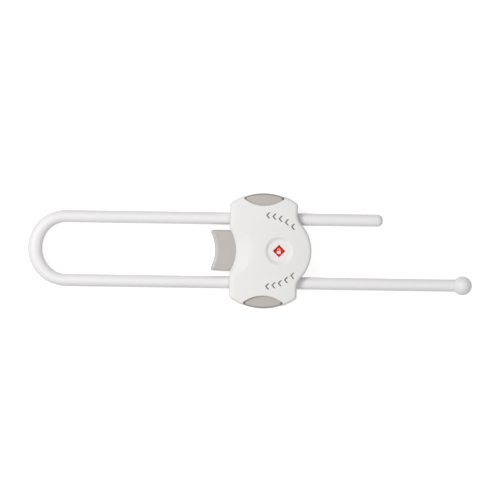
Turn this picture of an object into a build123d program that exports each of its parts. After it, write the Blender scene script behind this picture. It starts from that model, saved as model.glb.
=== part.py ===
from build123d import *
import math
import os

# A cabinet safety lock lying on its back: a toothed U-shaped rod slides through a flat housing.
# Origin at the centre of the housing's back face. +X runs along the legs towards the ball,
# +Y towards the short leg, +Z out of the front cover. Sizes in millimetres.

# housing outline
left_edge = 19.9            # from the centre to the straight left edge
right_edge = 19.6           # from the centre to the straight right edge
waist_reach = 16.1          # from the centre to the deepest point of the concave left edge
waist_radius = 22.9
bulge_reach = 27.9          # from the centre to the furthest point of the bulged right edge
bulge_radius = 23.0
end_radius = 33.1           # the two curved ends
corner_radius = 2.4         # where the ends meet the straight edges
waist_blend = 6.0           # where the left edge turns into the concave waist
bulge_blend = 9.0           # where the right edge turns into the bulge

# housing section
housing_height = 19.0
split_height = 9.0          # where the two covers meet, level with the rod's axis
wall = 2.0
floor = 2.0
ceiling = 2.2
crown_radius = 200.0        # the front face curves gently from left to right
front_edge_radius = 2.0
back_edge_radius = 1.0
seam_bevel = 0.3

# slope of the front face towards the left edge
slope_angle = 12.5          # from level
slope_easing = 7.0          # angle of the narrow band that leads into it
slope_easing_width = 1.2
slope_line = 13.55          # where the slope starts, from the centre, to the left
slope_tip = 6.2             # the same at the middle, where it swells towards the window
slope_swell_radius = 21.0
slope_blend = 5.0           # radius where the swell turns into the straight line
waist_edge_bevel = 0.5      # where the slope ends at the waist

# recess of the front face
window_x = 9.0
dish_radius = 8.3
dish_floor_radius = 6.3
dish_depth = 1.2
dish_rim_radius = 0.8
window_diagonal = 7.3

# rod
rod_diameter = 7.2
leg_spacing = 37.4
bend_centre = 115.8         # from the centre, to the left
bend_swell = 1.4            # extra width at the middle of the bend
short_leg_reach = 69.6
short_tip_radius = 3.2
ball_reach = 116.7
ball_diameter = 11.2
rod_clearance = 0.3         # between a leg and its channel
channel_mouth = 0.7         # bevel at the mouths of the channels

# ratchet
tooth_pitch = 3.0
tooth_depth = 0.8
tooth_land = 0.6            # flat tip of each tooth
tooth_width = 4.0
tooth_clearance = 0.15
ratchet_flat = 0.25         # flat cut under the leg before the teeth
ratchet_start = 96.0        # left end of the teeth, from the centre
ratchet_end = 45.0          # right end of the teeth, from the centre

# pawls
pawl_teeth = 4
pawl_half_width = 7.5
leaf_thickness = 1.0
leaf_lift = 1.2             # free height under the leaf
prong_slot = 6.8            # slot between the two prongs
prong_reach = 3.1           # prong tips, beyond the leg
prong_rise = 1.6
riser_offset = 2.4          # from the leg's axis to the step up to the prongs
anchor_depth = 4.5
anchor_inset = 6.2          # from the leg's axis to the near side of the anchor
peg_radius = 1.2
peg_offset = 4.5
peg_clearance = 0.05

# release buttons
button_width = 22.0
button_travel = 3.2
button_clearance = 0.4      # between the pressed button and the leg
button_depth = 8.05         # from the button's inner face to the end of the housing
button_bottom = 3.4
button_drop = 1.7           # button top below the crown of the front face
button_wall = 2.0
button_floor = 1.8
button_gap = 0.3            # around the button in its opening
button_mouth = 0.7          # how far the opening widens on each side
button_mouth_length = 2.4
button_draft = 3.5          # lean of the outer walls, in degrees
button_shoulder = 1.6       # cut off each outer corner of the button's top, along X
button_shoulder_length = 3.5
button_corner_radius = 1.0
button_edge_radius = 0.6
button_roof_lap = 1.0       # roof of the button carried on under the front cover
lens_radius = 19.3          # curve of the cover's edge around the button
lens_lap = 0.3              # how far that edge stands out over the button's inner face
lens_edge_bevel = 0.4
ear_width = 1.6
ear_depth = 2.4
ear_bottom = 4.5
ear_top = 15.5
ramp_width = 3.8
ramp_gap = 7.4              # between the two ramps
ramp_top = 7.4
ramp_nose = 6.1             # lower corner of the ramp's nose
ramp_foot = 3.6
ramp_run = 3.3

# springs
spring_wire = 0.5
spring_seat_gap = 0.1
spring_pad = 0.6            # raised seat inside the button's outer wall
button_spring_diameter = 5.0
button_spring_turns = 5
button_spring_height = 9.5
indicator_spring_diameter = 4.4
indicator_spring_turns = 10
spigot_radius = 1.4
spigot_length = 1.4
post_gap = 0.6              # between the leg and the spring post
post_thickness = 1.2
post_width = 4.8
post_top = 12.5

# indicator tab
tab_width = 23.9
tab_thickness = 9.0
tab_reach = 28.3            # middle of the concave end, from the centre
tab_end_radius = 22.0
tab_corner_radius = 1.3
tab_edge_radius = 1.2
tab_gap = 0.3
tab_travel = 10.5
tab_wall = 1.8
tab_tail = 6.0              # right end of the tab's block, from the centre
wing_width = 1.3
wing_length = 4.0
wing_height = 7.0
spine_width = 7.8
spring_bore_depth = 14.0
indicator_post_gap = 1.5    # between the pushed-in tab and the spring post
indicator_post_thickness = 2.0
carrier_width = 10.0
carrier_thickness = 1.4
carrier_gap = 0.7           # from the carrier to the ceiling
carrier_overrun = 5.2       # carrier beyond the window's centre
riser_thickness = 2.0
label_side = 9.0
label_thickness = 0.2
rail_thickness = 1.5
rail_ledge = 1.3
rail_ledge_thickness = 0.75
rail_start = 3.0            # left end of the rails, from the centre, to the left
rail_end = 23.0

# cover screws
screw_x = 16.0
screw_offset = 6.6          # from the leg's axis, outwards
boss_radius = 2.3
screw_head_diameter = 3.6
screw_head_height = 1.5
screw_head_recess = 0.4
screw_diameter = 2.2
screw_core_diameter = 1.7
screw_length = 12.5
screw_thread_pitch = 0.9
screw_clearance = 0.03
screw_hole_spare = 0.5      # depth of the screw hole beyond the screw's tip
screw_slot_depth = 0.8
screw_slot_width = 0.6

# saddles that carry the legs inside the housing
saddle_x = 14.6
saddle_thickness = 1.6
saddle_reach = 4.6          # to each side of the leg's axis

# worked out from the sizes above
leg_y = leg_spacing / 2
rod_radius = rod_diameter / 2
rod_side = leg_y + rod_radius
button_face = rod_side + button_clearance + button_travel
end_y = button_face + button_depth
end_centre = end_y - end_radius
lens_edge_y = button_face + lens_lap
lens_centre = lens_edge_y + lens_radius
screw_y = leg_y + screw_offset
channel_radius = rod_radius + rod_clearance
land_z = split_height - rod_radius + ratchet_flat
root_z = land_z + tooth_depth
inside_top = housing_height - ceiling
tab_bottom = split_height - tab_thickness / 2
tab_top = split_height + tab_thickness / 2
passage_top = tab_top + tab_gap
button_roof = housing_height - button_drop
button_half = button_width / 2
carrier_top = inside_top - carrier_gap
carrier_bottom = carrier_top - carrier_thickness
carrier_end = window_x + carrier_overrun
post_face = rod_side + post_gap + post_thickness
post_y = rod_side + post_gap
bore_end = tab_tail + spring_bore_depth
indicator_post_x = tab_travel - tab_tail + indicator_post_gap
big = 4 * end_y
sink = 0.1                  # how far a rib or post runs into the wall that carries it
near = 0.01                 # edges and corners are looked up within this


def block(x0, x1, y0, y1, z0, z1):
    return Pos((x0 + x1) / 2, (y0 + y1) / 2, (z0 + z1) / 2) * Box(x1 - x0, y1 - y0, z1 - z0)


def beside(side, x0, x1, inner, outer, z0, z1):
    # a block between two distances from the XZ plane, on the +Y or the -Y side
    y0, y1 = sorted((side * inner, side * outer))
    return block(x0, x1, y0, y1, z0, z1)


def rod_along_x(radius, x0, x1, y, z):
    return Pos((x0 + x1) / 2, y, z) * Rot(0, 90, 0) * Cylinder(radius, x1 - x0)


def rod_along_y(radius, y0, y1, x, z):
    return Pos(x, (y0 + y1) / 2, z) * Rot(90, 0, 0) * Cylinder(radius, y1 - y0)


def post_up(radius, z0, z1, x, y):
    return Pos(x, y, (z0 + z1) / 2) * Cylinder(radius, z1 - z0)


def lower(shape):
    return mirror(shape, about=Plane.XZ)


def slab(face, z0, z1):
    return Pos(0, 0, z0) * extrude(face, z1 - z0)


def corners_at(face, x, y):
    return [v for v in face.vertices() if abs(v.X - x) < near and abs(abs(v.Y) - y) < near]


def housing_face(inset):
    left = -left_edge + inset
    right = right_edge - inset
    waist = -waist_reach + inset
    bulge = bulge_reach - inset
    waist_r = waist_radius + inset
    bulge_r = bulge_radius - inset
    end_r = end_radius - inset
    waist_y = math.sqrt(waist_r ** 2 - (waist_r - (waist - left)) ** 2)
    bulge_y = math.sqrt(bulge_r ** 2 - (bulge_r - (bulge - right)) ** 2)
    left_y = end_centre + math.sqrt(end_r ** 2 - left ** 2)
    right_y = end_centre + math.sqrt(end_r ** 2 - right ** 2)
    tip_y = end_centre + end_r
    outline = [
        ThreePointArc((left, -waist_y), (waist, 0), (left, waist_y)),
        Line((left, waist_y), (left, left_y)),
        ThreePointArc((left, left_y), (0, tip_y), (right, right_y)),
        Line((right, right_y), (right, bulge_y)),
        ThreePointArc((right, bulge_y), (bulge, 0), (right, -bulge_y)),
        Line((right, -bulge_y), (right, -right_y)),
        ThreePointArc((right, -right_y), (0, -tip_y), (left, -left_y)),
        Line((left, -left_y), (left, -waist_y)),
    ]
    face = make_face(outline)
    end_corner = max(corner_radius - inset, 0.2)
    face = fillet(corners_at(face, left, left_y) + corners_at(face, right, right_y), end_corner)
    face = fillet(corners_at(face, left, waist_y), waist_blend - inset)
    return fillet(corners_at(face, right, bulge_y), bulge_blend + inset)


def crowned_space(top):
    return Pos(0, 0, top - crown_radius) * Rot(90, 0, 0) * Cylinder(crown_radius, big)


def channels():
    for side in (1, -1):
        yield rod_along_x(channel_radius, -big, big, side * leg_y, split_height)


def channel_mouths():
    # cones at 45 degrees that start inside the channel and end outside the housing
    flare = Cone(channel_radius - channel_mouth, channel_radius + 2 * channel_mouth, 3 * channel_mouth)
    shapes = []
    for side in (1, -1):
        for edge, turn in ((left_edge, -90), (right_edge, 90)):
            x = math.copysign(edge - channel_mouth / 2, turn)
            shapes.append(Pos(x, side * leg_y, split_height) * Rot(0, turn, 0) * flare)
    return shapes


def saddles(z0, z1):
    shapes = []
    for side in (1, -1):
        for x in (-saddle_x, saddle_x):
            y = side * leg_y
            half = saddle_thickness / 2
            shapes.append(block(x - half, x + half, y - saddle_reach, y + saddle_reach, z0, z1))
    return shapes


def screw_places():
    for x in (-screw_x, screw_x):
        for y in (-screw_y, screw_y):
            yield x, y


def tab_opening():
    half = tab_width / 2 + tab_gap
    opening = block(-2 * left_edge, -waist_reach / 2, -half, half, tab_bottom - tab_gap, passage_top)
    return fillet(opening.edges().filter_by(Axis.X), tab_edge_radius)


def button_opening():
    half = button_half + button_gap
    low = button_bottom - button_gap
    top = button_roof + button_gap
    inner = button_face - button_roof_lap - button_travel - button_gap
    body = block(-half, half, inner, big, low, split_height + near)
    roof = crowned_space(top) & block(-half, half, inner, big, split_height, housing_height)
    bevel = Cone(lens_radius, lens_radius + 2 * lens_edge_bevel, 2 * lens_edge_bevel)
    round_end = post_up(lens_radius, 0, big, 0, lens_centre) + Pos(0, lens_centre, housing_height) * bevel
    lens = block(-half, half, lens_edge_y - lens_edge_bevel, lens_centre, split_height, big) & round_end
    return body + roof + lens + button_mouth_flare(half, low)


def button_mouth_flare(half, low):
    # widens the opening towards the housing's curved end
    mouth_y = end_y_at(half) - button_mouth_length
    points = [(-half, mouth_y), (half, mouth_y), (half + 2 * button_mouth, mouth_y + 2 * button_mouth_length),
              (-half - 2 * button_mouth, mouth_y + 2 * button_mouth_length)]
    return slab(make_face(Polyline(points, close=True)), low, housing_height + near)


def end_y_at(x):
    return end_centre + math.sqrt(end_radius ** 2 - x ** 2)


def ratchet_line(first, count, gap):
    points = []
    for index in range(count):
        start = first + index * tooth_pitch
        crest = start + tooth_pitch - tooth_land
        points.append((start + gap, land_z))
        points.append((crest - gap, root_z - gap))
        points.append((crest - gap, land_z))
    return points


def xz_prism(points, width):
    face = make_face(Polyline(points, close=True))
    return extrude(Plane.XZ * face, width / 2, both=True)


def make_front_cover():
    shell = slab(housing_face(0), split_height, housing_height) & crowned_space(housing_height)
    roof = shell.faces().sort_by(Axis.Z)[-1]
    shell = fillet(roof.edges(), front_edge_radius)
    shell -= slope(slope_angle, 0)
    shell -= slope(slope_easing, slope_easing_width)
    shell -= waist_edge()
    shell = chamfer(shell.faces().sort_by(Axis.Z)[0].edges(), seam_bevel)
    shell = soften_dish(shell - dish())
    hollow = slab(housing_face(wall), split_height, passage_top)
    swell_centre = slope_tip + slope_swell_radius
    thick_radius = swell_centre - tab_tail - riser_thickness - tab_gap
    waist_block = post_up(thick_radius, 0, housing_height, -swell_centre, 0)
    hollow += slab(housing_face(wall), passage_top, inside_top) - waist_block
    shell -= hollow
    shell += [s & slab(housing_face(wall / 2), split_height, inside_top + sink)
              for s in saddles(split_height, inside_top + sink)]
    shell += [post_up(boss_radius, split_height, inside_top + sink, x, y) for x, y in screw_places()]
    shell += carrier_rails()
    hole = screw_diameter / 2 + screw_clearance
    hole_top = screw_head_recess + screw_length + screw_hole_spare
    shell -= [post_up(hole, 0, hole_top, x, y) for x, y in screw_places()]
    shell -= list(channels()) + channel_mouths()
    shell -= tab_opening()
    opening = button_opening()
    shell -= [opening, lower(opening)]
    side = window_diagonal / math.sqrt(2)
    shell -= Pos(window_x, 0, housing_height) * Rot(0, 0, 45) * Box(side, side, housing_height / 2)
    return shell


def slope(angle, ahead):
    # all that lies above a slope that falls to the left from a line with a swell at its middle
    line = ahead - slope_line
    tip = ahead - slope_tip
    swell_x = tip - slope_swell_radius
    blend_x = line + slope_blend
    centres = slope_swell_radius + slope_blend
    blend_y = math.sqrt(centres ** 2 - (blend_x - swell_x) ** 2)
    turn = math.degrees(math.atan2(blend_y, blend_x - swell_x))
    outline = [
        Polyline((line, -blend_y), (line, -big), (-big, -big), (-big, big), (line, big), (line, blend_y)),
        CenterArc((blend_x, blend_y), slope_blend, 180, turn),
        CenterArc((swell_x, 0), slope_swell_radius, -turn, 2 * turn),
        CenterArc((blend_x, -blend_y), slope_blend, 180, -turn),
    ]
    depth = (left_edge + tip) * math.tan(math.radians(angle))
    return extrude(Pos(0, 0, housing_height) * make_face(outline), -depth, taper=90 - angle)


def waist_edge():
    # bevels the edge where the slope runs out, and fades away towards both ends of the waist
    fall = (waist_reach - slope_tip) * math.tan(math.radians(slope_angle))
    height = fall + 2 * waist_edge_bevel
    low_radius = waist_radius - waist_edge_bevel
    cone = Cone(low_radius, low_radius + height, height)
    return Pos(-waist_reach - waist_radius, 0, housing_height - height / 2) * cone


def dish():
    # a round recess with a sloping wall and a flat floor, square to the crown of the front face
    spread = dish_radius - dish_floor_radius
    cone = Cone(dish_floor_radius, dish_radius + spread, 2 * dish_depth)
    tilt = math.degrees(math.asin(window_x / crown_radius))
    return Pos(0, 0, housing_height - crown_radius) * Rot(0, tilt, 0) * Pos(0, 0, crown_radius) * cone


def soften_dish(shell):
    side = shell.faces().filter_by(GeomType.CONE).sort_by_distance((window_x, 0, housing_height))[0]
    rims = [e for e in side.edges() if e.length > 2 * dish_floor_radius]
    return fillet(rims, dish_rim_radius)


def carrier_rails():
    shapes = []
    inner = carrier_width / 2 + tab_gap
    outer = inner + rail_thickness
    ledge_top = carrier_bottom - tab_gap / 2
    low = ledge_top - rail_ledge_thickness
    for side in (1, -1):
        shapes.append(beside(side, -rail_start, rail_end, inner, outer, low, inside_top + sink))
        shapes.append(beside(side, -rail_start, rail_end, inner - rail_ledge, outer, low, ledge_top))
    return shapes


def make_back_cover():
    shell = slab(housing_face(0), 0, split_height)
    shell = fillet(shell.faces().sort_by(Axis.Z)[0].edges(), back_edge_radius)
    shell = chamfer(shell.faces().sort_by(Axis.Z)[-1].edges(), seam_bevel)
    shell -= slab(housing_face(wall), floor, split_height + 1)
    shell += saddles(floor - sink, split_height)
    shell += [post_up(boss_radius, floor - sink, split_height, x, y) for x, y in screw_places()]
    hole = screw_diameter / 2 + screw_clearance
    shell -= [post_up(hole, -1, split_height + 1, x, y) for x, y in screw_places()]
    shell -= [screw_seat(x, y) for x, y in screw_places()]
    shell -= list(channels()) + channel_mouths()
    shell -= tab_opening()
    opening = button_opening()
    shell -= [opening, lower(opening)]
    shell += [back_fittings(), lower(back_fittings())]
    return shell + indicator_post()


def screw_seat(x, y):
    top = screw_diameter / 2 + screw_clearance
    rim = screw_head_diameter / 2 + screw_clearance
    cone = Cone(rim, top, screw_head_height)
    well = post_up(rim, -1, screw_head_recess, x, y)
    return Pos(x, y, screw_head_recess + screw_head_height / 2) * cone + well


def back_fittings():
    anchor_y = leg_y - anchor_inset - anchor_depth / 2
    half = post_width / 2
    post = block(-half, half, post_y, post_face, floor - sink, post_top)
    spigot = rod_along_y(spigot_radius, post_face, post_face + spigot_length, 0, button_spring_height)
    pegs = [post_up(peg_radius, floor - sink, tab_bottom - 2 * tab_gap, side * peg_offset, anchor_y)
            for side in (1, -1)]
    guide_y = anchor_y - anchor_depth / 2 - tab_gap
    guide = block(-waist_reach + wall, -pawl_half_width - tab_gap, guide_y - 3 * wall, guide_y - 2 * wall,
                  floor - sink, tab_bottom - tab_gap)
    return post + spigot + pegs + guide


def indicator_post():
    half = spine_width / 2
    body = block(indicator_post_x, indicator_post_x + indicator_post_thickness, -half, half,
                 floor - sink, tab_top - tab_gap)
    spigot = rod_along_x(spigot_radius, indicator_post_x - spigot_length, indicator_post_x, 0,
                         split_height)
    return body + spigot


def make_cover_screws():
    return Compound([Pos(x, y, screw_head_recess) * one_screw() for x, y in screw_places()])


def one_screw():
    head = screw_head_diameter / 2
    core = screw_core_diameter / 2
    crest = screw_diameter / 2
    points = [(0, 0), (head, 0), (crest, screw_head_height)]
    z = screw_head_height + screw_thread_pitch
    while z + screw_thread_pitch < screw_length - screw_diameter:
        points.append((core, z))
        points.append((crest, z + screw_thread_pitch / 2))
        z += screw_thread_pitch
    points.append((core, z))
    points.append((core, screw_length - core))
    points.append((0, screw_length))
    profile = make_face(Plane.XZ * Polyline(points, close=True))
    body = revolve(profile, Axis.Z)
    span = 0.7 * screw_head_diameter
    slot = Box(span, screw_slot_width, 2 * screw_slot_depth)
    return body - slot - Rot(0, 0, 90) * slot


def make_u_rod():
    tip = short_leg_reach
    rod = rod_along_x(rod_radius, -bend_centre, tip, leg_y, split_height)
    rod = fillet(rod.faces().sort_by(Axis.X)[-1].edges(), short_tip_radius)
    rod += bend()
    rod += rod_along_x(rod_radius, -bend_centre, ball_reach, -leg_y, split_height)
    rod += Pos(ball_reach, -leg_y, split_height) * Sphere(ball_diameter / 2)
    rod -= [Pos(0, side * leg_y, 0) * ratchet_cut() for side in (1, -1)]
    return rod


def bend():
    # an oval tube, a little wider at the middle of the bend, outer side a true half circle
    steps = 12
    outside = leg_y + rod_radius
    sections = []
    for step in range(steps + 1):
        turn = math.pi * step / steps
        half = rod_radius + bend_swell / 2 * math.sin(turn) ** 2
        reach = outside - half
        centre = (-bend_centre - reach * math.sin(turn), reach * math.cos(turn), split_height)
        out = (-math.sin(turn), math.cos(turn), 0)
        along = (-math.cos(turn), -math.sin(turn), 0)
        plane = Plane(origin=centre, x_dir=out, z_dir=along)
        sections.append(plane * Ellipse(half, rod_radius))
    return loft(sections)


def ratchet_cut():
    count = int((ratchet_start + ratchet_end) / tooth_pitch)
    first = -tooth_pitch * int(ratchet_start / tooth_pitch)
    below = split_height - ball_diameter
    last = first + count * tooth_pitch
    points = ratchet_line(first, count, 0) + [(last, land_z), (last, below), (first, below)]
    return xz_prism(points, tooth_width)


def make_pawl():
    leaf_bottom = floor + leaf_lift
    leaf_top = leaf_bottom + leaf_thickness
    anchor_far = leg_y - anchor_inset
    prong_top = leaf_top + prong_rise
    prong_start = leg_y + riser_offset + leaf_thickness
    prong_end = rod_side + prong_reach
    half = pawl_half_width
    anchor = block(-half, half, anchor_far - anchor_depth, anchor_far, floor, tab_bottom - tab_gap)
    leaf = block(-half, half, anchor_far, prong_start, leaf_bottom, leaf_top)
    riser = block(-half, half, prong_start - leaf_thickness, prong_start, leaf_bottom, prong_top)
    prongs = block(-half, half, prong_start - leaf_thickness, prong_end, prong_top - leaf_thickness,
                   prong_top)
    pawl = anchor + leaf + riser + prongs
    pawl = pawl - block(-prong_slot / 2, prong_slot / 2, prong_start - leaf_thickness, big, 0, big)
    comb_half = pawl_teeth * tooth_pitch / 2
    comb_width = tooth_width - 2 * tooth_clearance
    comb_top = land_z - tooth_clearance
    pawl += Pos(0, leg_y, 0) * block(-comb_half, comb_half, -comb_width / 2, comb_width / 2,
                                     leaf_bottom, comb_top)
    line = ratchet_line(-comb_half, pawl_teeth, tooth_clearance)
    points = line + [(comb_half, land_z), (comb_half, leaf_top), (-comb_half, leaf_top),
                     (-comb_half, land_z)]
    points = [(x, z if z > land_z else min(z, comb_top)) for x, z in points]
    pawl += Pos(0, leg_y, 0) * xz_prism(points, comb_width)
    anchor_y = anchor_far - anchor_depth / 2
    hole = peg_radius + peg_clearance
    return pawl - [post_up(hole, 0, big, side * peg_offset, anchor_y) for side in (1, -1)]


def make_button():
    face = button_face
    height = housing_height - button_bottom
    lean = height * math.tan(math.radians(button_draft))
    end = Pos(0, end_centre, button_bottom + height / 2) * Cone(end_radius, end_radius - lean, height)
    body = block(-button_half, button_half, face, big, button_bottom, housing_height) & end
    body += block(-button_half, button_half, face - button_roof_lap, lens_edge_y,
                  button_roof - button_wall, housing_height)
    body = (body & crowned_space(button_roof)) - [button_shoulder_cut(side) for side in (1, -1)]
    outer = [e for e in body.edges() if e.center().Y > button_shoulder_y()]
    body = fillet([e for e in outer if not is_level(e, button_wall)], button_corner_radius)
    rims = [e for e in body.edges() if e.center().Y > button_shoulder_y() and is_level(e, button_wall)]
    body = fillet(rims, button_edge_radius)
    pocket_half = button_half - button_wall
    inner_end = post_up(end_radius - button_wall, 0, housing_height, 0, end_centre)
    pocket_low = button_bottom + button_floor
    pocket = block(-pocket_half, pocket_half, 0, end_y, pocket_low, button_roof - button_wall)
    body -= pocket & inner_end
    shelf_start = face + button_wall + spigot_length
    body -= block(-pocket_half, pocket_half, 0, shelf_start, 0, button_roof - button_wall)
    body += [button_ear(side) for side in (1, -1)]
    body += [button_ramp(side) for side in (1, -1)]
    seat = button_spring_seat()
    wall_end = end_centre + end_radius - button_wall / 2
    body += rod_along_y(button_spring_diameter / 2 + button_gap, seat, wall_end, 0, button_spring_height)
    return body + rod_along_y(spigot_radius, seat - spigot_length, seat, 0, button_spring_height)


def button_shoulder_y():
    return end_y_at(button_half) - button_shoulder_length


def button_shoulder_cut(side):
    # takes off an outer corner, a little less towards the bottom
    along = Vector(-button_shoulder, button_shoulder_length, 0).normalized()
    away = Vector(along.Y, -along.X, 0)
    start = Vector(button_half, button_shoulder_y(), 0)
    reach = 2 * button_shoulder_length
    corners = [start - along * reach, start + along * reach,
               start + along * reach + away * reach, start - along * reach + away * reach]
    face = Pos(0, 0, housing_height) * make_face(Polyline(*corners, close=True))
    cut = extrude(face, button_bottom - housing_height, taper=button_draft)
    return cut if side > 0 else mirror(cut, about=Plane.YZ)


def button_spring_seat():
    return end_centre + end_radius - button_wall - spring_pad


def button_ear(side):
    reach = button_half + ear_width
    inner_r = end_radius - wall
    outer_y = end_centre + math.sqrt(inner_r ** 2 - reach ** 2) - button_gap
    inner_x = button_half - button_wall / 2
    x0, x1 = sorted((side * inner_x, side * reach))
    return block(x0, x1, outer_y - ear_depth, outer_y, ear_bottom, ear_top)


def button_ramp(side):
    nose = button_face - rod_clearance
    wall_y = end_centre + end_radius - button_wall
    points = [(nose, ramp_top), (nose, ramp_nose), (nose + ramp_run, ramp_foot),
              (wall_y - button_wall / 2, ramp_foot), (wall_y - button_wall / 2, ramp_top)]
    face = make_face(Polyline(points, close=True))
    ramp = extrude(Plane.YZ * face, ramp_width / 2, both=True)
    return Pos(side * (ramp_gap + ramp_width) / 2, 0, 0) * ramp


def make_indicator_tab():
    half = tab_width / 2
    middle = -tab_reach
    sag = tab_end_radius - math.sqrt(tab_end_radius ** 2 - half ** 2)
    block_end = -tab_tail
    outline = [
        ThreePointArc((middle - sag, -half), (middle, 0), (middle - sag, half)),
        Polyline((middle - sag, half), (block_end, half), (block_end, -half), (middle - sag, -half)),
    ]
    head = slab(make_face(outline), tab_bottom, tab_top)
    tips = [e for e in head.edges().filter_by(Axis.Z) if e.center().X < middle]
    head = fillet(tips, tab_corner_radius)
    rims = [e for e in head.edges() if is_level(e) and e.center().X < block_end - near]
    head = fillet(rims, tab_edge_radius)
    for side in (1, -1):
        head -= beside(side, middle + tab_wall, block_end - tab_wall, spine_width / 2, half - tab_wall,
                       0, tab_top - tab_wall)
    head += wings()
    bore = indicator_spring_diameter / 2 + 2 * tab_gap
    head -= rod_along_x(bore, -bore_end, 0, 0, split_height)
    carrier = block(block_end - riser_thickness, carrier_end, -carrier_width / 2, carrier_width / 2,
                    carrier_bottom, carrier_top)
    ends = [e for e in carrier.edges().filter_by(Axis.Z) if e.center().X > 0]
    carrier = fillet(ends, riser_thickness)
    riser_half = carrier_width / 2 - rail_ledge
    riser = block(block_end - riser_thickness, block_end, -riser_half, riser_half,
                  tab_top - tab_wall, carrier_top)
    return head + carrier + riser


def is_level(edge, most=near):
    return abs(edge.position_at(0).Z - edge.position_at(1).Z) < most


def wings():
    shapes = []
    start = wing_start()
    z0 = split_height - wing_height / 2
    for side in (1, -1):
        shapes.append(beside(side, start, start + wing_length, (tab_width - tab_wall) / 2,
                             tab_width / 2 + wing_width, z0, z0 + wing_height))
    return shapes


def wing_start():
    inner_r = waist_radius + wall
    centre = -waist_reach - waist_radius
    return centre + math.sqrt(inner_r ** 2 - (tab_width / 2) ** 2) + tab_gap


def make_label(x):
    half = label_side / 2
    return block(x - half, x + half, -half, half, carrier_top, carrier_top + label_thickness)


def arc_pair(start, start_way, end, end_way):
    # two arcs that leave start and reach end in the given directions
    chord = end - start
    ways = start_way + end_way
    a = 2 * (start_way.dot(end_way) - 1)
    b = -2 * chord.dot(ways)
    c = chord.dot(chord)
    reach = (-b - math.sqrt(b * b - 4 * a * c)) / (2 * a)
    first = start + start_way * reach
    second = end - end_way * reach
    joint = (first + second) / 2
    across = (second - first).normalized()
    return [Edge.make_tangent_arc(start, start_way, joint),
            Edge.make_tangent_arc(joint, across, end)]


def coil(diameter, length, turns):
    # a compression spring standing on the origin, made of quarter turns
    radius = (diameter - spring_wire) / 2
    low = spring_wire / 2
    climb = (length - spring_wire) / (4 * turns)
    places = []
    ways = []
    for quarter in range(4 * turns + 1):
        turn = math.pi / 2 * quarter
        places.append(Vector(radius * math.cos(turn), radius * math.sin(turn), low + climb * quarter))
        way = Vector(-radius * math.sin(turn), radius * math.cos(turn), climb / (math.pi / 2))
        ways.append(way.normalized())
    edges = []
    for quarter in range(4 * turns):
        edges += arc_pair(places[quarter], ways[quarter], places[quarter + 1], ways[quarter + 1])
    path = Wire(edges)
    section = Plane(origin=places[0], z_dir=ways[0]) * Circle(spring_wire / 2)
    tube = sweep(section, path=path)
    print("coil of", turns, "turns, least gap", round(least_gap(path, turns), 2), "mm, volume over section",
          round(tube.volume / (math.pi * spring_wire ** 2 / 4 * path.length), 3))
    return tube


def least_gap(path, turns):
    samples = 24 * turns
    points = [path.position_at(i / samples) for i in range(samples + 1)]
    gaps = [(points[i] - points[j]).length for i in range(samples) for j in range(i + 12, samples + 1)]
    return min(gaps) - spring_wire


def make_button_spring():
    start = post_face + spring_seat_gap
    length = button_spring_seat() - spring_seat_gap - start
    spring = coil(button_spring_diameter, length, button_spring_turns)
    return Pos(0, start, button_spring_height) * Rot(-90, 0, 0) * spring


def make_indicator_spring():
    start = -bore_end + spring_seat_gap
    length = indicator_post_x - spring_seat_gap - start
    spring = coil(indicator_spring_diameter, length, indicator_spring_turns)
    return Pos(start, 0, split_height) * Rot(0, 90, 0) * spring


def save(node, shape):
    export_step(shape, os.path.join("parts", node + ".step"))


def main():
    os.makedirs("parts", exist_ok=True)
    save("front_cover", make_front_cover())
    save("back_cover", make_back_cover())
    save("cover_screws", make_cover_screws())
    save("u_rod", make_u_rod())
    save("indicator_tab", make_indicator_tab())
    save("indicator_spring", make_indicator_spring())
    save("label_unlocked", make_label(window_x))
    save("label_locked", make_label(window_x - tab_travel))
    pieces = {"release_button": make_button(), "button_spring": make_button_spring(), "pawl": make_pawl()}
    for name, piece in pieces.items():
        save(name + "_upper", piece)
        save(name + "_lower", lower(piece))


main()
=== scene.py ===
import math
import bmesh
import bpy
from mathutils import Matrix, Vector


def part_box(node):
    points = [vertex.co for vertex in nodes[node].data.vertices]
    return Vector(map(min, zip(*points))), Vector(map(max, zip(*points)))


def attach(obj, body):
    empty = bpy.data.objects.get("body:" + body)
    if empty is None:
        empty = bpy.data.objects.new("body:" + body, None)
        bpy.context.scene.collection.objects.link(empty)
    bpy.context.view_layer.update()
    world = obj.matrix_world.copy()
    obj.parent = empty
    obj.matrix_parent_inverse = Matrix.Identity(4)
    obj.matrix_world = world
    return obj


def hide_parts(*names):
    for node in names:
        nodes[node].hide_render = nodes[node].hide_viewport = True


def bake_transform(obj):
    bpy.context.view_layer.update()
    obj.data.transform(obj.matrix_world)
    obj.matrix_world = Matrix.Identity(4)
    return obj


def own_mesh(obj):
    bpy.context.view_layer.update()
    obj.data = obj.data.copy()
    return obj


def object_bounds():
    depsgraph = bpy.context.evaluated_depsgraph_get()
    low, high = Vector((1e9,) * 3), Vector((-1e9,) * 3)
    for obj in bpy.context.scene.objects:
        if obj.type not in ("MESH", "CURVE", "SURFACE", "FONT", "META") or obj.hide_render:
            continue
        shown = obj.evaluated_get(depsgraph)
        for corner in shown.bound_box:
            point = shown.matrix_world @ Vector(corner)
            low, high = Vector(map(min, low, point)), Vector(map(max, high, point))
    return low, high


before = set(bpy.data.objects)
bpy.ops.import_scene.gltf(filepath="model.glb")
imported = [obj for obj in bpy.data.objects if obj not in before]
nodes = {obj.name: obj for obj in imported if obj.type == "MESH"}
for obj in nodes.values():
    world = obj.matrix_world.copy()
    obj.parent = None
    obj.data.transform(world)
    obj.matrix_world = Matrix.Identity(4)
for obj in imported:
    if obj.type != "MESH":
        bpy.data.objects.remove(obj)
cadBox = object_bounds()
mm = 0.001


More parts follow.
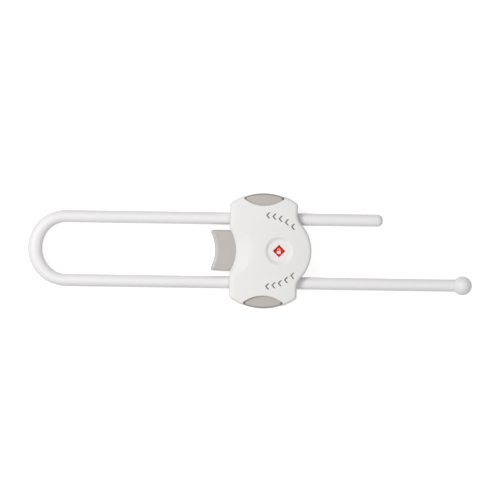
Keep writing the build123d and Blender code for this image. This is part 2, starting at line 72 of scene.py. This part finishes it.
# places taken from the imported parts
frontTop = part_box("front_cover")[1].z
rodLow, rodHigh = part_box("u_rod")
rodAxisZ = (rodLow.z + rodHigh.z) / 2


# the node trees are built with these small helpers
def newGroup(name, inputs, outputs):
    group = bpy.data.node_groups.new(name, "ShaderNodeTree")
    for label, kind, value in inputs:
        socket = group.interface.new_socket(name=label, in_out="INPUT", socket_type=kind)
        if value is not None:
            socket.default_value = value
    for label, kind in outputs:
        group.interface.new_socket(name=label, in_out="OUTPUT", socket_type=kind)
    return group, group.nodes.new("NodeGroupInput"), group.nodes.new("NodeGroupOutput")


def feed(tree, value, socket):
    # a socket gets a link or a plain number
    if isinstance(value, (int, float)):
        socket.default_value = value
    else:
        tree.links.new(value, socket)


def noise(tree, vector, scale, detail=2.0, rough=0.5):
    node = tree.nodes.new("ShaderNodeTexNoise")
    tree.links.new(vector, node.inputs["Vector"])
    for label, value in (("Detail", detail), ("Roughness", rough), ("Scale", scale)):
        feed(tree, value, node.inputs[label])
    return node.outputs["Fac"]


def sums(tree, operation, *values):
    node = tree.nodes.new("ShaderNodeMath")
    node.operation = operation
    for index, value in enumerate(values):
        feed(tree, value, node.inputs[index])
    return node.outputs[0]


def anyOf(tree, first, *others):
    for other in others:
        first = sums(tree, "MAXIMUM", first, other)
    return first


def between(tree, value, low, high, toLow=0.0, toHigh=1.0):
    node = tree.nodes.new("ShaderNodeMapRange")
    tree.links.new(value, node.inputs["Value"])
    for label, number in (("From Min", low), ("From Max", high), ("To Min", toLow), ("To Max", toHigh)):
        feed(tree, number, node.inputs[label])
    return node.outputs["Result"]


def shadeColour(tree, colour, shade):
    grey = tree.nodes.new("ShaderNodeCombineColor")
    for channel in ("Red", "Green", "Blue"):
        tree.links.new(shade, grey.inputs[channel])
    node = tree.nodes.new("ShaderNodeMix")
    node.data_type = "RGBA"
    node.blend_type = "MULTIPLY"
    node.inputs["Factor"].default_value = 1.0
    tree.links.new(colour, node.inputs["A"])
    tree.links.new(grey.outputs["Color"], node.inputs["B"])
    return [s for s in node.outputs if s.type == "RGBA"][0]


skinSettings = {"cloudsPerMetre": 70.0, "smearsPerMetre": 260.0, "cloudRange": (0.3, 0.7),
                "speckRange": (0.3, 0.75), "speckShade": 0.985}


def makeMouldedGroup():
    # moulded plastic: faint cloudiness, fine spark texture and uneven gloss
    group, given, result = newGroup("mouldedSkin", [
        ("Vector", "NodeSocketVector", None), ("Colour", "NodeSocketColor", (0.8, 0.8, 0.8, 1)),
        ("Cloud", "NodeSocketFloat", 0.03), ("Grain Per Metre", "NodeSocketFloat", 3000.0),
        ("Roughness", "NodeSocketFloat", 0.4), ("Gloss Spread", "NodeSocketFloat", 0.08)],
        [("Colour", "NodeSocketColor"), ("Roughness", "NodeSocketFloat"), ("Height", "NodeSocketFloat")])
    look = skinSettings
    vector = given.outputs["Vector"]
    cloud = noise(group, vector, look["cloudsPerMetre"], 3.0)
    fine = noise(group, vector, given.outputs["Grain Per Metre"], 3.0, 0.6)
    smear = noise(group, vector, look["smearsPerMetre"], 4.0, 0.6)
    dark = sums(group, "SUBTRACT", 1.0, given.outputs["Cloud"])
    shade = between(group, cloud, *look["cloudRange"], dark, 1.0)
    speck = between(group, fine, *look["speckRange"], look["speckShade"], 1.0)
    shaded = sums(group, "MULTIPLY", shade, speck)
    group.links.new(shadeColour(group, given.outputs["Colour"], shaded), result.inputs["Colour"])
    spread = sums(group, "MULTIPLY", sums(group, "SUBTRACT", smear, 0.5), given.outputs["Gloss Spread"])
    group.links.new(sums(group, "ADD", given.outputs["Roughness"], spread), result.inputs["Roughness"])
    group.links.new(fine, result.inputs["Height"])
    return group


flowSettings = {"streaksPerMetre": 900.0, "streakRange": (0.3, 0.7), "stretch": 0.05}


def makeFlowGroup():
    # long streaks left where the plastic flowed along X
    look = flowSettings
    group, given, result = newGroup("flowLines", [
        ("Vector", "NodeSocketVector", None), ("Stretch", "NodeSocketFloat", look["stretch"]),
        ("Strength", "NodeSocketFloat", 0.03)],
        [("Shade", "NodeSocketFloat"), ("Height", "NodeSocketFloat")])
    scaled = group.nodes.new("ShaderNodeVectorMath")
    scaled.operation = "MULTIPLY"
    factors = group.nodes.new("ShaderNodeCombineXYZ")
    group.links.new(given.outputs["Stretch"], factors.inputs["X"])
    factors.inputs["Y"].default_value = 1.0
    factors.inputs["Z"].default_value = 1.0
    group.links.new(given.outputs["Vector"], scaled.inputs[0])
    group.links.new(factors.outputs["Vector"], scaled.inputs[1])
    streak = noise(group, scaled.outputs["Vector"], look["streaksPerMetre"])
    dark = sums(group, "SUBTRACT", 1.0, given.outputs["Strength"])
    group.links.new(between(group, streak, *look["streakRange"], dark, 1.0), result.inputs["Shade"])
    group.links.new(streak, result.inputs["Height"])
    return group


def makeSeamGroup():
    # the fine raised line that the two halves of a mould leave at one height
    group, given, result = newGroup("partingLine", [
        ("Vector", "NodeSocketVector", None), ("Level", "NodeSocketFloat", 0.0),
        ("Half Width", "NodeSocketFloat", 0.0001)], [("Height", "NodeSocketFloat")])
    split = group.nodes.new("ShaderNodeSeparateXYZ")
    group.links.new(given.outputs["Vector"], split.inputs["Vector"])
    away = sums(group, "ABSOLUTE", sums(group, "SUBTRACT", split.outputs["Z"], given.outputs["Level"]))
    line = between(group, away, 0.0, given.outputs["Half Width"], 1.0, 0.0)
    group.links.new(line, result.inputs["Height"])
    return group


mouldedSkin = makeMouldedGroup()
flowLines = makeFlowGroup()
partingLine = makeSeamGroup()
print("shared effects made")


def newMaterial(name, **constants):
    material = bpy.data.materials.new(name)
    material.use_nodes = True
    shader = material.node_tree.nodes["Principled BSDF"]
    for label, value in constants.items():
        shader.inputs[label.replace("_", " ")].default_value = value
    place = material.node_tree.nodes.new("ShaderNodeTexCoord").outputs["Object"]
    return material, material.node_tree, shader, place


def addGroup(tree, group, vector, **values):
    node = tree.nodes.new("ShaderNodeGroup")
    node.node_tree = group
    tree.links.new(vector, node.inputs["Vector"])
    for label, value in values.items():
        node.inputs[label.replace("_", " ")].default_value = value
    return node


def addSkin(tree, place, look, **others):
    return addGroup(tree, mouldedSkin, place, Colour=look["colour"], Cloud=look["cloud"],
                    Grain_Per_Metre=look["grain"], Roughness=look["roughness"], **others)


def addBump(tree, height, shader, distance, before=None):
    node = tree.nodes.new("ShaderNodeBump")
    node.inputs["Distance"].default_value = distance
    tree.links.new(height, node.inputs["Height"])
    if before is not None:
        tree.links.new(before, node.inputs["Normal"])
    tree.links.new(node.outputs["Normal"], shader.inputs["Normal"])
    return node.outputs["Normal"]


def dress(tree, shader, skin, colour, depth):
    # colour, gloss and fine texture go to the shader
    tree.links.new(colour, shader.inputs["Base Color"])
    tree.links.new(skin.outputs["Roughness"], shader.inputs["Roughness"])
    return addBump(tree, skin.outputs["Height"], shader, depth)


coverLook = {"colour": (0.815, 0.808, 0.795, 1), "roughness": 0.48, "shine": 0.3, "cloud": 0.012,
             "grain": 2600.0, "depth": 0.00001}


def makeCoverMaterial():
    look = coverLook
    material, tree, shader, place = newMaterial("whiteCover", IOR=1.5, Specular_IOR_Level=look["shine"])
    skin = addSkin(tree, place, look)
    dress(tree, shader, skin, skin.outputs["Colour"], look["depth"])
    return material


rodLook = {"colour": (0.85, 0.835, 0.838, 1), "roughness": 0.42, "shine": 0.35, "cloud": 0.01,
           "grain": 2000.0, "depth": 0.000008, "streak": 0.02, "seamHalfWidth": 0.00012,
           "seamHeight": 0.00004}


def makeRodMaterial():
    look = rodLook
    material, tree, shader, place = newMaterial("whiteRod", IOR=1.5, Specular_IOR_Level=look["shine"])
    skin = addSkin(tree, place, look)
    flow = addGroup(tree, flowLines, place, Strength=look["streak"])
    colour = shadeColour(tree, skin.outputs["Colour"], flow.outputs["Shade"])
    normal = dress(tree, shader, skin, colour, look["depth"])
    seam = addGroup(tree, partingLine, place, Level=rodAxisZ, Half_Width=look["seamHalfWidth"])
    addBump(tree, seam.outputs["Height"], shader, look["seamHeight"], before=normal)
    return material


greyLooks = {
    "greyButton": {"colour": (0.495, 0.46, 0.43, 1), "roughness": 0.45, "cloud": 0.03, "grain": 1800.0,
                   "depth": 0.00002},
    "greyTab": {"colour": (0.50, 0.472, 0.450, 1), "roughness": 0.42, "cloud": 0.03, "grain": 1800.0,
                "depth": 0.00002},
    "naturalPawl": {"colour": (0.72, 0.70, 0.62, 1), "roughness": 0.35, "cloud": 0.03, "grain": 2500.0,
                    "depth": 0.000008},
}

# rings about an upright axis with painted light: painted shade on a button's outer wall, and a painted
# highlight on the rounded edge of the tab's hollow end
paintedLightRings = {
    # painted shade: the button's outer wall is made darker, as if turned away from the light
    "greyButton": {"centre": (0, cadBox[1].y - 33.1 * mm), "inner": 31.45 * mm, "outer": 40 * mm,
                   "soft": 0.5 * mm, "shade": 0.58},
    # painted highlight: a lighter band along the rounded edge of the tab's hollow end
    "greyTab": {"centre": (-50.3 * mm, 0), "inner": 22.1 * mm, "outer": 23.75 * mm, "soft": 0.4 * mm,
                "shade": 1.16},
}


# paints light into the colour: a band about an upright axis is made darker (painted shade) or lighter
# (painted highlight)
def paintLightRing(tree, place, colour, look):
    centreX, centreY = look["centre"]
    split = tree.nodes.new("ShaderNodeSeparateXYZ")
    tree.links.new(place, split.inputs["Vector"])
    alongX = sums(tree, "SUBTRACT", split.outputs["X"], centreX)
    alongY = sums(tree, "SUBTRACT", sums(tree, "ABSOLUTE", split.outputs["Y"]), centreY)
    squares = [sums(tree, "MULTIPLY", side, side) for side in (alongX, alongY)]
    reach = sums(tree, "SQRT", sums(tree, "ADD", *squares))
    rise = between(tree, reach, look["inner"], look["inner"] + look["soft"])
    fall = between(tree, reach, look["outer"], look["outer"] + look["soft"], 1.0, 0.0)
    shade = between(tree, sums(tree, "MULTIPLY", rise, fall), 0.0, 1.0, 1.0, look["shade"])
    return shadeColour(tree, colour, shade)


def makeGreyMaterial(name):
    look = greyLooks[name]
    material, tree, shader, place = newMaterial(name, IOR=1.5)
    skin = addSkin(tree, place, look)
    colour = skin.outputs["Colour"]
    # painted shade or painted highlight in a ring band
    if name in paintedLightRings:
        colour = paintLightRing(tree, place, colour, paintedLightRings[name])
    dress(tree, shader, skin, colour, look["depth"])
    return material


printFinish = {"shine": 0.12, "cloud": 0.05, "grain": 5000.0, "depth": 0.000004}
printLooks = {
    "redPrint": {"colour": (0.76, 0.018, 0.001, 1), "roughness": 0.4},
    "greenPrint": {"colour": (0.02, 0.36, 0.08, 1), "roughness": 0.4},
    "whitePrint": {"colour": (0.88, 0.87, 0.84, 1), "roughness": 0.4},
    "greyPrint": {"colour": (0.22, 0.18, 0.15, 1), "roughness": 0.5},
}


def makePrintMaterial(name):
    look = {**printFinish, **printLooks[name]}
    material, tree, shader, place = newMaterial(name, IOR=1.5, Specular_IOR_Level=look["shine"])
    skin = addSkin(tree, place, look)
    dress(tree, shader, skin, skin.outputs["Colour"], look["depth"])
    return material


metalFinish = {"cloud": 0.15, "grain": 4000.0, "glossSpread": 0.2, "depth": 0.000006}
metalLooks = {
    "springSteel": {"colour": (0.55, 0.55, 0.56, 1), "roughness": 0.28},
    "zincPlate": {"colour": (0.62, 0.62, 0.64, 1), "roughness": 0.34},
}


def makeMetalMaterial(name):
    look = {**metalFinish, **metalLooks[name]}
    material, tree, shader, place = newMaterial(name, Metallic=1.0)
    skin = addSkin(tree, place, look, Gloss_Spread=look["glossSpread"])
    dress(tree, shader, skin, skin.outputs["Colour"], look["depth"])
    return material


finishes = {"whiteCover": makeCoverMaterial(), "whiteRod": makeRodMaterial()}
finishes.update({name: makeGreyMaterial(name) for name in greyLooks})
finishes.update({name: makePrintMaterial(name) for name in printLooks})
finishes.update({name: makeMetalMaterial(name) for name in metalLooks})

nodeFinish = {
    "front_cover": "whiteCover", "back_cover": "whiteCover", "cover_screws": "zincPlate",
    "u_rod": "whiteRod", "release_button_upper": "greyButton", "release_button_lower": "greyButton",
    "indicator_tab": "greyTab", "label_unlocked": "redPrint", "label_locked": "greenPrint",
}


def setFinish(piece, name):
    piece.data.materials.clear()
    piece.data.materials.append(finishes[name])


for nodeName, finishName in nodeFinish.items():
    setFinish(nodes[nodeName], finishName)
print("materials made")


def newObject(name, bm):
    mesh = bpy.data.meshes.new(name)
    bm.to_mesh(mesh)
    bm.free()
    thing = bpy.data.objects.new(name, mesh)
    bpy.context.scene.collection.objects.link(thing)
    return thing


def newPiece(name, bm, finish, body):
    piece = newObject(name, bm)
    setFinish(piece, finish)
    if body:
        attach(piece, body)
    return piece


def tidyMesh(bm):
    bmesh.ops.remove_doubles(bm, verts=bm.verts, dist=0.0001 * mm)
    bmesh.ops.recalc_face_normals(bm, faces=bm.faces)


springSettings = {
    "wire": 0.5 * mm, "sides": 10, "stepsPerTurn": 28, "closedPitch": 1.04,
    "button": {"radius": 2.25 * mm, "turns": 5}, "indicator": {"radius": 1.95 * mm, "turns": 10},
}


def springMesh(radius, turns, length):
    # stands on the origin along Z: one closed turn, the open turns, one closed turn
    wire = springSettings["wire"]
    steps = springSettings["stepsPerTurn"]
    closed = wire * springSettings["closedPitch"]
    openTurns = turns - 2
    openPitch = (length - wire - 2 * closed) / openTurns
    bm = bmesh.new()
    ring = bmesh.ops.create_circle(bm, segments=springSettings["sides"], radius=wire / 2)["verts"]
    bmesh.ops.rotate(bm, verts=ring, cent=(0, 0, 0), matrix=Matrix.Rotation(math.pi / 2, 3, "X"))
    bmesh.ops.translate(bm, verts=ring, vec=(radius, 0, wire / 2))
    ringEdges = list({e for v in ring for e in v.link_edges})
    bmesh.ops.contextual_create(bm, geom=ringEdges)
    geometry = list(ring) + ringEdges
    for pitch, count in ((closed, 1), (openPitch, openTurns), (closed, 1)):
        spun = bmesh.ops.spin(bm, geom=geometry, cent=(0, 0, 0), axis=(0, 0, 1), angle=2 * math.pi * count,
                              steps=steps * count, dvec=(0, 0, pitch / steps))
        geometry = [g for g in spun["geom_last"] if not isinstance(g, bmesh.types.BMFace)]
    lastEdges = [g for g in geometry if isinstance(g, bmesh.types.BMEdge)]
    bmesh.ops.contextual_create(bm, geom=lastEdges)
    tidyMesh(bm)
    for face in bm.faces:
        face.smooth = len(face.verts) == 4  # the two end caps stay flat
    return bm


def makeSpring(name, kind, nodeName, turn):
    settings = springSettings[kind]
    low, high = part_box(nodeName)
    centre = (low + high) / 2
    along = turn @ Vector((0, 0, 1))
    length = abs((high - low).dot(along))
    bm = springMesh(settings["radius"], settings["turns"], length)
    bmesh.ops.translate(bm, verts=bm.verts, vec=(0, 0, -length / 2))
    bmesh.ops.transform(bm, verts=bm.verts, matrix=Matrix.Translation(centre) @ turn.to_4x4())
    piece = newPiece(name, bm, "springSteel", None)
    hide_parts(nodeName)
    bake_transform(piece)


makeSpring("buttonSpringUpper", "button", "button_spring_upper",
           Matrix.Rotation(-math.pi / 2, 3, "X"))
makeSpring("buttonSpringLower", "button", "button_spring_lower",
           Matrix.Rotation(math.pi / 2, 3, "X"))
makeSpring("indicatorSpring", "indicator", "indicator_spring",
           Matrix.Rotation(-math.pi / 2, 3, "Y"))
print("springs made")


pawlSettings = {"keep": 0.45, "smoothUnder": 30}  # share of the height that stays, and degrees


def makePawl(name, nodeName):
    # the pawl gives way as the button's ramps press its prongs down
    bm = bmesh.new()
    bm.from_mesh(nodes[nodeName].data)
    tidyMesh(bm)
    for edge in bm.edges:
        edge.smooth = edge.calc_face_angle(0.0) < math.radians(pawlSettings["smoothUnder"])
    for face in bm.faces:
        face.smooth = True
    piece = newPiece(name, bm, "naturalPawl", "housing")
    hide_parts(nodeName)
    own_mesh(piece)


makePawl("pawlUpper", "pawl_upper")
makePawl("pawlLower", "pawl_lower")
print("pawls made")


padlock = {"bodyWidth": 2.15 * mm, "bodyHeight": 1.7 * mm, "corner": 0.3 * mm, "cornerSteps": 5,
           "thickness": 0.05 * mm, "shackleRadius": 0.7 * mm, "shackleWidth": 0.24 * mm, "shackleSteps": 16,
           "legLength": 0.3 * mm, "lift": 0.3 * mm, "freeShare": 0.5, "shift": -0.15 * mm,
           "drop": 0.75 * mm}


def padlockMesh(opened):
    look = padlock
    bm = bmesh.new()
    box = bmesh.ops.create_cube(bm, size=1.0)["verts"]
    bmesh.ops.scale(bm, verts=box, vec=(look["bodyWidth"], look["bodyHeight"], look["thickness"]))
    upright = [e for e in bm.edges if abs(e.verts[0].co.z - e.verts[1].co.z) > look["thickness"] / 2]
    bmesh.ops.bevel(bm, geom=upright, offset=look["corner"], segments=look["cornerSteps"], profile=0.5,
                    affect="EDGES", material=-1)
    legTop = look["bodyHeight"] / 2 + look["legLength"] + (look["lift"] if opened else 0)
    legDrop = legTop - look["bodyHeight"] / 4  # the legs go on into the body
    end = bmesh.ops.create_grid(bm, x_segments=1, y_segments=1, size=0.5)["verts"]
    bmesh.ops.scale(bm, verts=end, vec=(look["shackleWidth"], look["thickness"], 1))
    bmesh.ops.rotate(bm, verts=end, cent=(0, 0, 0), matrix=Matrix.Rotation(math.pi / 2, 3, "X"))
    bmesh.ops.translate(bm, verts=end, vec=(look["shackleRadius"], legTop, 0))
    face = end[0].link_faces[0]
    spun = bmesh.ops.spin(bm, geom=[face], cent=(0, legTop, 0), axis=(0, 0, 1), angle=math.pi,
                          steps=look["shackleSteps"])
    last = [g for g in spun["geom_last"] if isinstance(g, bmesh.types.BMFace)]
    freeDrop = look["legLength"] * look["freeShare"] if opened else legDrop
    for source, reach in ((face, legDrop), (last[0], freeDrop)):
        pulled = bmesh.ops.extrude_face_region(bm, geom=[source])
        moved = [g for g in pulled["geom"] if isinstance(g, bmesh.types.BMVert)]
        bmesh.ops.translate(bm, verts=moved, vec=(0, -reach, 0))
    bmesh.ops.delete(bm, geom=[f for f in (face, last[0]) if f.is_valid], context="FACES_ONLY")
    tidyMesh(bm)
    return bm


def makePadlock(name, labelName, opened):
    low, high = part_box(labelName)
    bm = padlockMesh(opened)
    centre = (low + high) / 2
    lift = high.z + padlock["thickness"] / 2
    bmesh.ops.translate(bm, verts=bm.verts,
                        vec=(centre.x + padlock["shift"], centre.y - padlock["drop"], lift))
    newPiece(name, bm, "whitePrint", "indicator")


makePadlock("openPadlockPrint", "label_unlocked", True)
makePadlock("closedPadlockPrint", "label_locked", False)
print("indicator prints made")


slideMarks = {"count": 5, "arm": 1.75 * mm, "reach": 1.5 * mm, "stroke": 0.75 * mm, "slant": 1.3,
              "thickness": 0.03 * mm, "sunk": 0.005 * mm, "start": (1.9 * mm, 20.6 * mm),
              "end": (16.4 * mm, 14.2 * mm), "bulge": 1.3 * mm}
crownRadius = 200 * mm  # the front is arched along X


def crownHeight(x):
    return frontTop - crownRadius + math.sqrt(crownRadius ** 2 - x ** 2)


def addChevron(bm, x, y):
    # a plain arrowhead that points along -X
    look = slideMarks
    tip, arm, stroke = look["reach"], look["arm"], look["stroke"] * look["slant"]
    outline = [(-tip / 2, 0), (tip / 2, arm), (tip / 2 + stroke, arm), (-tip / 2 + stroke, 0),
               (tip / 2 + stroke, -arm), (tip / 2, -arm)]
    corners = [bm.verts.new((x + dx, y + dy, 0)) for dx, dy in outline]
    faces = [bm.faces.new(corners[:4]), bm.faces.new([corners[3], corners[4], corners[5], corners[0]])]
    pulled = bmesh.ops.extrude_face_region(bm, geom=faces)
    moved = [g for g in pulled["geom"] if isinstance(g, bmesh.types.BMVert)]
    bmesh.ops.translate(bm, verts=moved, vec=(0, 0, look["thickness"]))


def makeSlideMarks(name, side):
    look = slideMarks
    startX, startY = look["start"]
    endX, endY = look["end"]
    bm = bmesh.new()
    for index in range(look["count"]):
        share = index / (look["count"] - 1)
        x = startX + share * (endX - startX)
        y = startY + share * (endY - startY) + look["bulge"] * math.sin(math.pi * share)
        addChevron(bm, x, side * y)
    for vert in bm.verts:
        vert.co.z += crownHeight(vert.co.x) - look["sunk"]
    tidyMesh(bm)
    newPiece(name, bm, "greyPrint", "housing")


makeSlideMarks("slideMarksUpper", 1)
makeSlideMarks("slideMarksLower", -1)
print("printed marks made")


stageSettings = {"size": 6.0, "colour": (0.74, 0.74, 0.74, 1), "roughness": 0.9, "cameraGlow": 0.6}


def makeFloorMaterial():
    material = bpy.data.materials.new("paleFloor")
    material.use_nodes = True
    tree = material.node_tree
    shader = tree.nodes["Principled BSDF"]
    shader.inputs["Base Color"].default_value = stageSettings["colour"]
    shader.inputs["Roughness"].default_value = stageSettings["roughness"]
    shader.inputs["Specular IOR Level"].default_value = 0.0
    ray = tree.nodes.new("ShaderNodeLightPath").outputs
    seen = anyOf(tree, ray["Is Camera Ray"], ray["Is Glossy Ray"], ray["Is Transmission Ray"])
    glow = tree.nodes.new("ShaderNodeEmission")
    tree.links.new(sums(tree, "MULTIPLY", seen, stageSettings["cameraGlow"]), glow.inputs["Strength"])
    both = tree.nodes.new("ShaderNodeAddShader")
    tree.links.new(shader.outputs["BSDF"], both.inputs[0])
    tree.links.new(glow.outputs["Emission"], both.inputs[1])
    # the underside is seen, and lit, through the floor
    below = tree.nodes.new("ShaderNodeNewGeometry").outputs["Backfacing"]
    clear = tree.nodes.new("ShaderNodeBsdfTransparent")
    mixed = tree.nodes.new("ShaderNodeMixShader")
    tree.links.new(anyOf(tree, below, ray["Is Diffuse Ray"], ray["Is Shadow Ray"]), mixed.inputs["Fac"])
    tree.links.new(both.outputs["Shader"], mixed.inputs[1])
    tree.links.new(clear.outputs["BSDF"], mixed.inputs[2])
    tree.links.new(mixed.outputs["Shader"], tree.nodes["Material Output"].inputs["Surface"])
    return material


def makeFloor():
    bm = bmesh.new()
    bmesh.ops.create_grid(bm, x_segments=1, y_segments=1, size=stageSettings["size"] / 2)
    floor = newObject("floor", bm)
    floor.location.z = cadBox[0].z
    floor.data.materials.append(makeFloorMaterial())


lightSettings = {
    "horizon": 0.2, "zenith": 0.7, "nadir": 0.7, "lowerSpread": 0.6,
    "key": {"place": (-0.62, 0.22, 1.0), "size": 0.45, "watts": 7.3},
    "fill": {"place": (0.25, -0.9, 0.85), "size": 0.8, "watts": 1.2},
}


def makeWorld():
    # white to the camera, and a soft grey sky for the object
    look = lightSettings
    world = bpy.data.worlds.new("studio")
    bpy.context.scene.world = world
    world.use_nodes = True
    tree = world.node_tree
    ray = tree.nodes.new("ShaderNodeLightPath").outputs
    seen = anyOf(tree, ray["Is Camera Ray"], ray["Is Transmission Ray"])
    way = tree.nodes.new("ShaderNodeSeparateXYZ")
    tree.links.new(tree.nodes.new("ShaderNodeTexCoord").outputs["Generated"], way.inputs["Vector"])
    above = between(tree, way.outputs["Z"], 0.0, 1.0, look["horizon"], look["zenith"])
    below = between(tree, way.outputs["Z"], -look["lowerSpread"], 0.0, look["nadir"], look["horizon"])
    level = between(tree, seen, 0.0, 1.0, anyOf(tree, above, below), 1.0)
    background = tree.nodes["Background"]
    background.inputs["Color"].default_value = (1, 1, 1, 1)
    tree.links.new(level, background.inputs["Strength"])


def makeLamp(name):
    look = lightSettings[name]
    data = bpy.data.lights.new(name, "AREA")
    data.shape = "SQUARE"
    data.size = look["size"]
    data.energy = look["watts"]
    lamp = bpy.data.objects.new(name, data)
    bpy.context.scene.collection.objects.link(lamp)
    lamp.location = look["place"]
    lamp.rotation_euler = (-Vector(look["place"])).to_track_quat("-Z", "Y").to_euler()


cameraSettings = {"lens": 135.0, "sensor": 36.0, "width": 0.2928, "centre": (-0.0079, 0.00036),
                  "level": 0.009, "turn": 0.85, "farthest": 10.0}


def makeCamera():
    look = cameraSettings
    data = bpy.data.cameras.new("camera")
    data.lens = look["lens"]
    data.sensor_width = look["sensor"]
    data.clip_end = look["farthest"]
    camera = bpy.data.objects.new("camera", data)
    bpy.context.scene.collection.objects.link(camera)
    away = look["width"] * look["lens"] / look["sensor"]
    camera.location = (*look["centre"], look["level"] + away)
    camera.rotation_euler = (0, 0, math.radians(look["turn"]))
    bpy.context.scene.camera = camera


makeFloor()
makeWorld()
makeLamp("key")
makeLamp("fill")
makeCamera()
bpy.context.scene.view_settings.view_transform = "Standard"
print("stage, lights and camera made")
